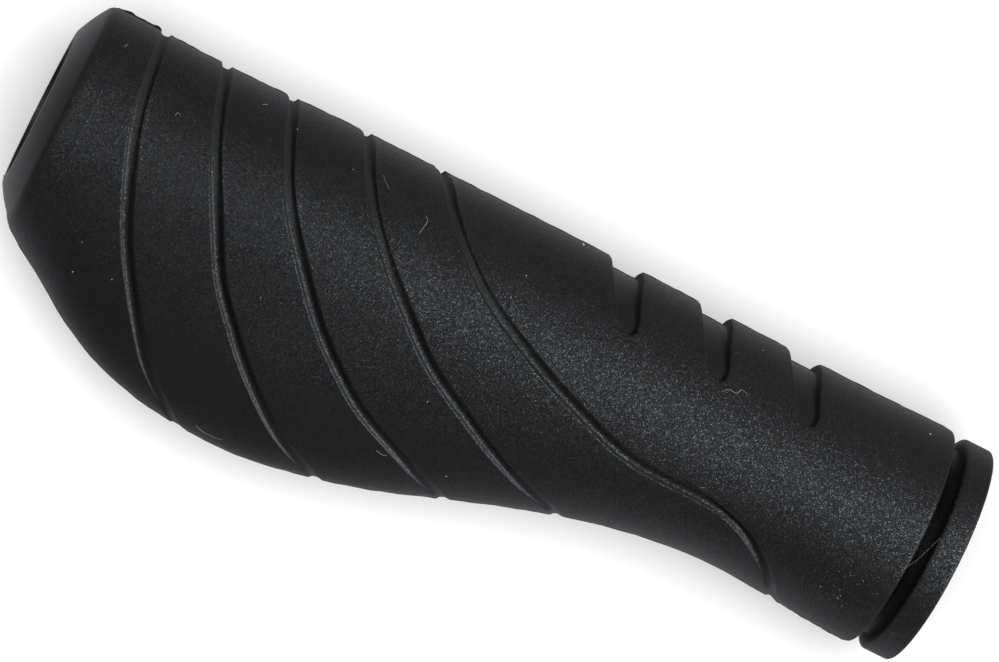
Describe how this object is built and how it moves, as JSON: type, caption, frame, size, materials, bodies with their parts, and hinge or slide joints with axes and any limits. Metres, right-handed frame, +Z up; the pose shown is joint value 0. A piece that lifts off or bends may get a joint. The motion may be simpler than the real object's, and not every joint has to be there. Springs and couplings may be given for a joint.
{
  "type": "handlebar grip",
  "caption": "Moulded rubber handlebar grip with a palm swelling, slanting grooves, finger scallops, a stop flange and a bore right through.",
  "frame": {"origin": "on the bore's axis, in the plane of the stop flange's outer face", "axes": "+X along the bore from the flange to the conical outer end, +Y towards the palm swelling, +Z up as the grip lies on its side"},
  "size_m": [0.14, 0.0478, 0.0348],
  "materials": {
    "rubber": "satin, fine etched grain"
  },
  "bodies": {
    "root": {"grip": "rubber"}
  },
  "joints": []
}
